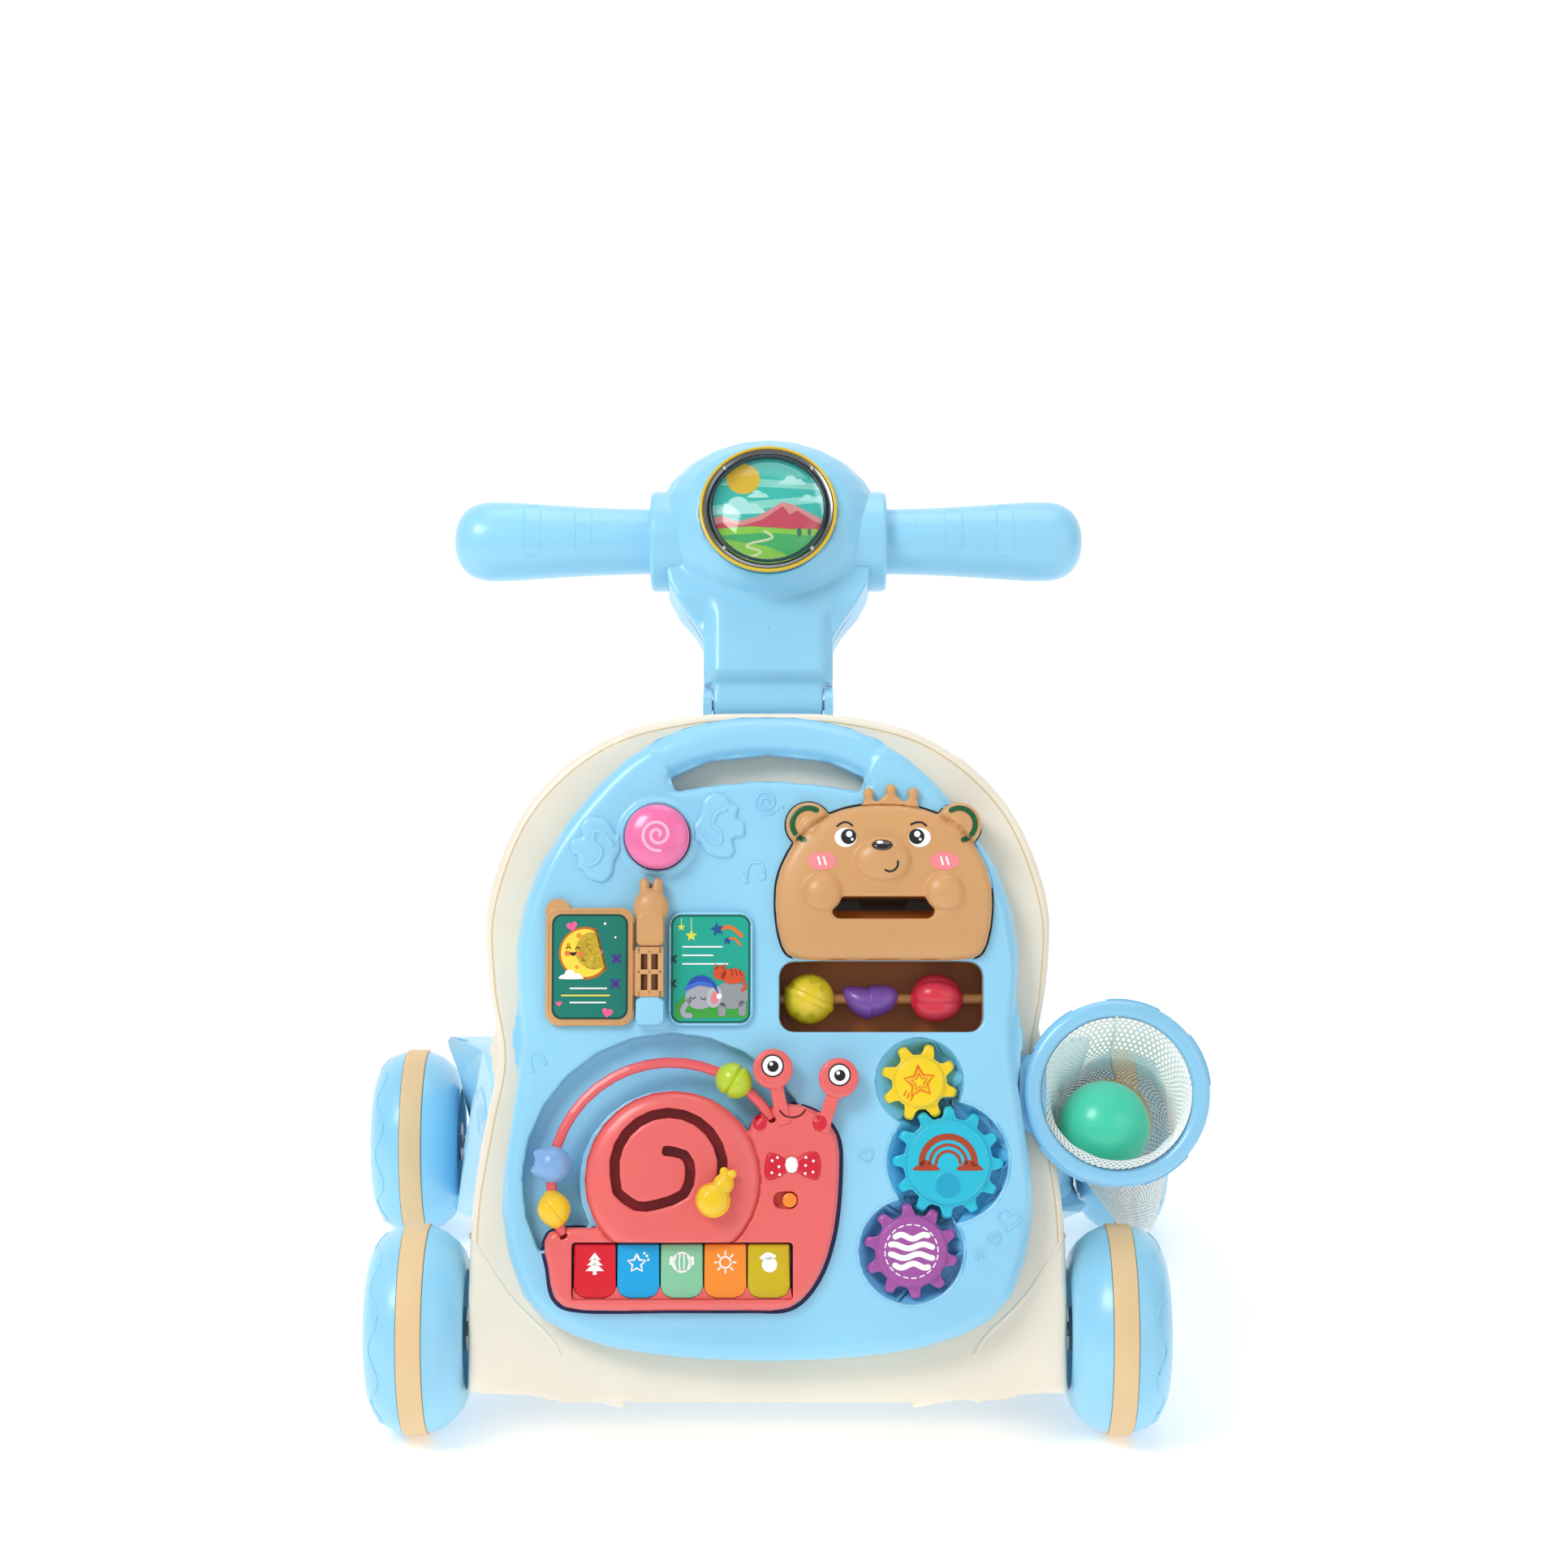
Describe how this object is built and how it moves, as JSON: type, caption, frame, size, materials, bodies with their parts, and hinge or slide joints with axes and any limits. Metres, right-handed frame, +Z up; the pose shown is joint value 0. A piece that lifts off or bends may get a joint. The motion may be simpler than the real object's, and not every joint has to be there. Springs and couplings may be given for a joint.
{
  "type": "baby walker",
  "caption": "Push-along baby walker with a removable activity board, folding handle, four wheels, meshing gears, beads, keys and a ball net.",
  "frame": {"origin": "on the floor midway between the front and rear axles, on the middle plane, which is the bottom centre of the bounding box", "axes": "+Z up, +X to the right as seen facing the activity board, +Y from the board towards the child behind the walker"},
  "size_m": [0.4966, 0.4101, 0.517],
  "materials": {
    "front_shell": "satin",
    "shell_back": "satin",
    "front_axle": "drawn",
    "neck_base": "satin",
    "neck_pin": "drawn",
    "rear_leg_left": "satin",
    "rear_leg_right": "satin",
    "rear_axle_left": "drawn",
    "rear_axle_right": "drawn",
    "rear_cross": "satin",
    "basket_ring": "gloss",
    "basket_net": "open mesh",
    "ball_green": "soft plastic",
    "ball_tan": "soft plastic",
    "activity_board": "satin",
    "back_cover": "satin",
    "battery_lid": "satin",
    "bead_box": "satin",
    "bead_rod": "satin",
    "bear_face": "satin",
    "book_page_fixed": "printed",
    "rabbit_cap": "satin",
    "spine_pin": "drawn",
    "snail_body": "satin",
    "maze_floor": "satin",
    "wire_arch": "coated wire",
    "book_page_turning": "satin",
    "candy_button": "gloss",
    "maze_knob": "gloss",
    "power_switch": "gloss",
    "bead_bell": "gloss",
    "bead_bean": "gloss",
    "bead_star": "gloss",
    "arch_bead_green": "gloss",
    "arch_bead_blue": "gloss",
    "arch_bead_yellow": "gloss",
    "gear_cyan": "gloss",
    "gear_yellow": "gloss",
    "gear_purple": "gloss",
    "key_red": "gloss",
    "key_blue": "gloss",
    "key_green": "gloss",
    "key_orange": "gloss",
    "key_olive": "gloss",
    "neck": "satin",
    "head_front": "satin",
    "head_back": "satin",
    "grip_left": "satin",
    "grip_right": "satin",
    "picture_disc": "printed",
    "lens_bezel": "gloss",
    "lens_dome": "clear",
    "wheel_front_left": "satin",
    "tyre_front_left": "soft band",
    "wheel_front_right": "satin",
    "tyre_front_right": "soft band",
    "wheel_rear_left": "satin",
    "tyre_rear_left": "soft band",
    "wheel_rear_right": "satin",
    "tyre_rear_right": "soft band"
  },
  "bodies": {
    "frame": {"front_shell": "front_shell", "shell_back": "shell_back", "front_axle": "front_axle", "neck_base": "neck_base", "neck_pin": "neck_pin", "rear_leg_left": "rear_leg_left", "rear_leg_right": "rear_leg_right", "rear_axle_left": "rear_axle_left", "rear_axle_right": "rear_axle_right", "rear_cross": "rear_cross", "basket_ring": "basket_ring", "basket_net": "basket_net", "ball_green": "ball_green", "ball_tan": "ball_tan"},
    "board": {"activity_board": "activity_board", "back_cover": "back_cover", "battery_lid": "battery_lid", "bead_box": "bead_box", "bead_rod": "bead_rod", "bear_face": "bear_face", "book_page_fixed": "book_page_fixed", "rabbit_cap": "rabbit_cap", "spine_pin": "spine_pin", "snail_body": "snail_body", "maze_floor": "maze_floor", "wire_arch": "wire_arch"},
    "handle": {"neck": "neck", "head_front": "head_front", "head_back": "head_back", "grip_left": "grip_left", "grip_right": "grip_right", "picture_disc": "picture_disc", "lens_bezel": "lens_bezel", "lens_dome": "lens_dome"},
    "book_page_turning_body": {"book_page_turning": "book_page_turning"},
    "candy_button_body": {"candy_button": "candy_button"},
    "power_switch_body": {"power_switch": "power_switch"},
    "maze_knob_body": {"maze_knob": "maze_knob"},
    "bead_bell_body": {"bead_bell": "bead_bell"},
    "bead_bean_body": {"bead_bean": "bead_bean"},
    "bead_star_body": {"bead_star": "bead_star"},
    "arch_bead_green_body": {"arch_bead_green": "arch_bead_green"},
    "arch_bead_blue_body": {"arch_bead_blue": "arch_bead_blue"},
    "arch_bead_yellow_body": {"arch_bead_yellow": "arch_bead_yellow"},
    "gear_cyan_body": {"gear_cyan": "gear_cyan"},
    "gear_yellow_body": {"gear_yellow": "gear_yellow"},
    "gear_purple_body": {"gear_purple": "gear_purple"},
    "key_red_body": {"key_red": "key_red"},
    "key_blue_body": {"key_blue": "key_blue"},
    "key_green_body": {"key_green": "key_green"},
    "key_orange_body": {"key_orange": "key_orange"},
    "key_olive_body": {"key_olive": "key_olive"},
    "wheel_front_left_body": {"wheel_front_left": "wheel_front_left", "tyre_front_left": "tyre_front_left"},
    "wheel_front_right_body": {"wheel_front_right": "wheel_front_right", "tyre_front_right": "tyre_front_right"},
    "wheel_rear_left_body": {"wheel_rear_left": "wheel_rear_left", "tyre_rear_left": "tyre_rear_left"},
    "wheel_rear_right_body": {"wheel_rear_right": "wheel_rear_right", "tyre_rear_right": "tyre_rear_right"}
  },
  "joints": [
    {"name": "wheel_front_left_spin", "type": "hinge", "parent": "frame", "child": "wheel_front_left_body", "pos_m": [-0.192, -0.1475, 0.0575], "axis": [1, 0, 0], "continuous": true},
    {"name": "wheel_front_right_spin", "type": "hinge", "parent": "frame", "child": "wheel_front_right_body", "pos_m": [0.192, -0.1475, 0.0575], "axis": [1, 0, 0], "continuous": true},
    {"name": "wheel_rear_left_spin", "type": "hinge", "parent": "frame", "child": "wheel_rear_left_body", "pos_m": [-0.221, 0.1475, 0.0575], "axis": [1, 0, 0], "continuous": true},
    {"name": "wheel_rear_right_spin", "type": "hinge", "parent": "frame", "child": "wheel_rear_right_body", "pos_m": [0.221, 0.1475, 0.0575], "axis": [1, 0, 0], "continuous": true},
    {"name": "handle_fold", "type": "hinge", "parent": "frame", "child": "handle", "pos_m": [0, -0.01204, 0.37704], "axis": [-1, 0, 0], "range_deg": [0, 75]},
    {"name": "board_release", "type": "slide", "parent": "frame", "child": "board", "axis": [0, -0.9397, 0.342], "range_m": [0, 0.03]},
    {"name": "page_turn", "type": "hinge", "parent": "board", "child": "book_page_turning_body", "pos_m": [-0.063, -0.14069, 0.26041], "axis": [0, 0.342, 0.9397], "range_deg": [0, 165]},
    {"name": "candy_press", "type": "slide", "parent": "board", "child": "candy_button_body", "axis": [0, 0.9397, -0.342], "range_m": [0, 0.003], "stiffness_N_per_m": 300, "springref_m": -0.001},
    {"name": "key_red_press", "type": "slide", "parent": "board", "child": "key_red_body", "axis": [0, 0.9397, -0.342], "range_m": [0, 0.0025], "stiffness_N_per_m": 300, "springref_m": -0.001},
    {"name": "key_blue_press", "type": "slide", "parent": "board", "child": "key_blue_body", "axis": [0, 0.9397, -0.342], "range_m": [0, 0.0025], "stiffness_N_per_m": 300, "springref_m": -0.001},
    {"name": "key_green_press", "type": "slide", "parent": "board", "child": "key_green_body", "axis": [0, 0.9397, -0.342], "range_m": [0, 0.0025], "stiffness_N_per_m": 300, "springref_m": -0.001},
    {"name": "key_orange_press", "type": "slide", "parent": "board", "child": "key_orange_body", "axis": [0, 0.9397, -0.342], "range_m": [0, 0.0025], "stiffness_N_per_m": 300, "springref_m": -0.001},
    {"name": "key_olive_press", "type": "slide", "parent": "board", "child": "key_olive_body", "axis": [0, 0.9397, -0.342], "range_m": [0, 0.0025], "stiffness_N_per_m": 300, "springref_m": -0.001},
    {"name": "power_slide", "type": "slide", "parent": "board", "child": "power_switch_body", "axis": [-1, 0, 0], "range_m": [0, 0.0042]},
    {"name": "bead_bell_spin", "type": "hinge", "parent": "board", "child": "bead_bell_body", "pos_m": [0.0224, -0.12081, 0.23902], "axis": [1, 0, 0], "continuous": true},
    {"name": "bead_bean_spin", "type": "hinge", "parent": "board", "child": "bead_bean_body", "pos_m": [0.056, -0.12081, 0.23902], "axis": [1, 0, 0], "continuous": true},
    {"name": "bead_star_spin", "type": "hinge", "parent": "board", "child": "bead_star_body", "pos_m": [0.092, -0.12081, 0.23902], "axis": [1, 0, 0], "continuous": true},
    {"name": "gear_cyan_spin", "type": "hinge", "parent": "board", "child": "gear_cyan_body", "pos_m": [0.0968, -0.16316, 0.16068], "axis": [0, -0.9397, 0.342], "continuous": true},
    {"name": "gear_yellow_spin", "type": "hinge", "parent": "board", "child": "gear_yellow_body", "pos_m": [0.0816, -0.14848, 0.20099], "axis": [0, -0.9397, 0.342], "continuous": true},
    {"name": "gear_purple_spin", "type": "hinge", "parent": "board", "child": "gear_purple_body", "pos_m": [0.077, -0.17933, 0.11623], "axis": [0, -0.9397, 0.342], "continuous": true},
    {"name": "arch_bead_green_travel", "type": "hinge", "parent": "board", "child": "arch_bead_green_body", "pos_m": [-0.0518, -0.17614, 0.15423], "axis": [0, -0.9397, 0.342], "range_deg": [0, 45]},
    {"name": "arch_bead_blue_travel", "type": "hinge", "parent": "board", "child": "arch_bead_blue_body", "pos_m": [-0.0518, -0.17614, 0.15423], "axis": [0, -0.9397, 0.342], "range_deg": [-45, 0]},
    {"name": "arch_bead_yellow_travel", "type": "hinge", "parent": "board", "child": "arch_bead_yellow_body", "pos_m": [-0.0518, -0.17614, 0.15423], "axis": [0, -0.9397, 0.342], "range_deg": [-2.5, 0]},
    {"name": "maze_knob_travel", "type": "hinge", "parent": "board", "child": "maze_knob_body", "pos_m": [-0.0527, -0.17861, 0.16353], "axis": [0, -0.9397, 0.342], "range_deg": [0, 200]}
  ],
  "couplings": [
    {"joint": "gear_yellow_spin", "follows": "gear_cyan_spin", "ratio": -1.5},
    {"joint": "gear_purple_spin", "follows": "gear_cyan_spin", "ratio": -1.2}
  ]
}
